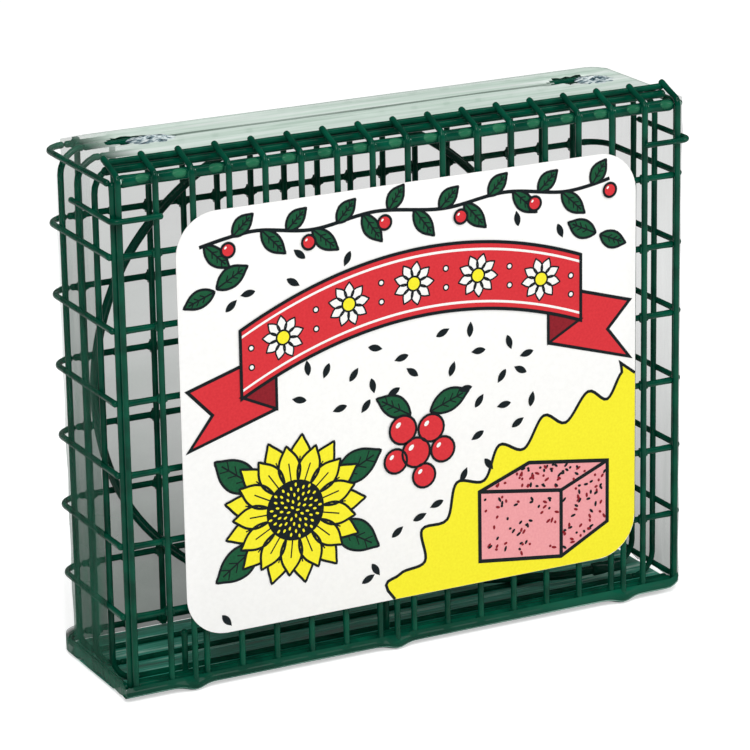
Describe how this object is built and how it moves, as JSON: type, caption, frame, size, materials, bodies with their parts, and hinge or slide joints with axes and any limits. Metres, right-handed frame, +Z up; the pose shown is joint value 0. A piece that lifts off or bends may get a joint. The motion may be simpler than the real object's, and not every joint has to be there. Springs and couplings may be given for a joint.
{
  "type": "suet feeder",
  "caption": "Flat wire cage that holds a large suet or seed cake, with a drop-down mesh front, latch ears, a label card, clear film and a stored hanger cable.",
  "frame": {"origin": "centre of the bottom of the whole object, on the surface it stands on", "axes": "+Z up, +X to the right of the door as seen from the front, front and door facing -Y"},
  "size_m": [0.2246, 0.0636, 0.1894],
  "materials": {
    "vinyl": "glossy dipped vinyl, dark green",
    "card": "printed card, semi-matt",
    "cable": "smooth green sleeve",
    "film": "clear shrink film"
  },
  "bodies": {
    "cage": {"left_grille": "vinyl", "right_grille": "vinyl", "back_grille": "vinyl", "top_bar_front": "vinyl", "top_bar_middle": "vinyl", "top_bar_rear": "vinyl", "bottom_bar_front": "vinyl", "bottom_bar_middle": "vinyl", "bottom_bar_rear": "vinyl", "front_top_rail": "vinyl", "hinge_rail": "vinyl", "hanger_cable": "cable", "sleeve_low": "cable", "sleeve_high": "cable", "shrink_film": "film"},
    "door": {"door_grille": "vinyl", "hinge_hook_left": "vinyl", "hinge_hook_middle": "vinyl", "hinge_hook_right": "vinyl", "latch_ear_left": "vinyl", "latch_ear_right": "vinyl", "label_card": "card"}
  },
  "joints": [
    {"name": "door_hinge", "type": "hinge", "parent": "cage", "child": "door", "pos_m": [0, -0.02365, 0.0039], "axis": [1, 0, 0], "range_deg": [0, 90]}
  ]
}
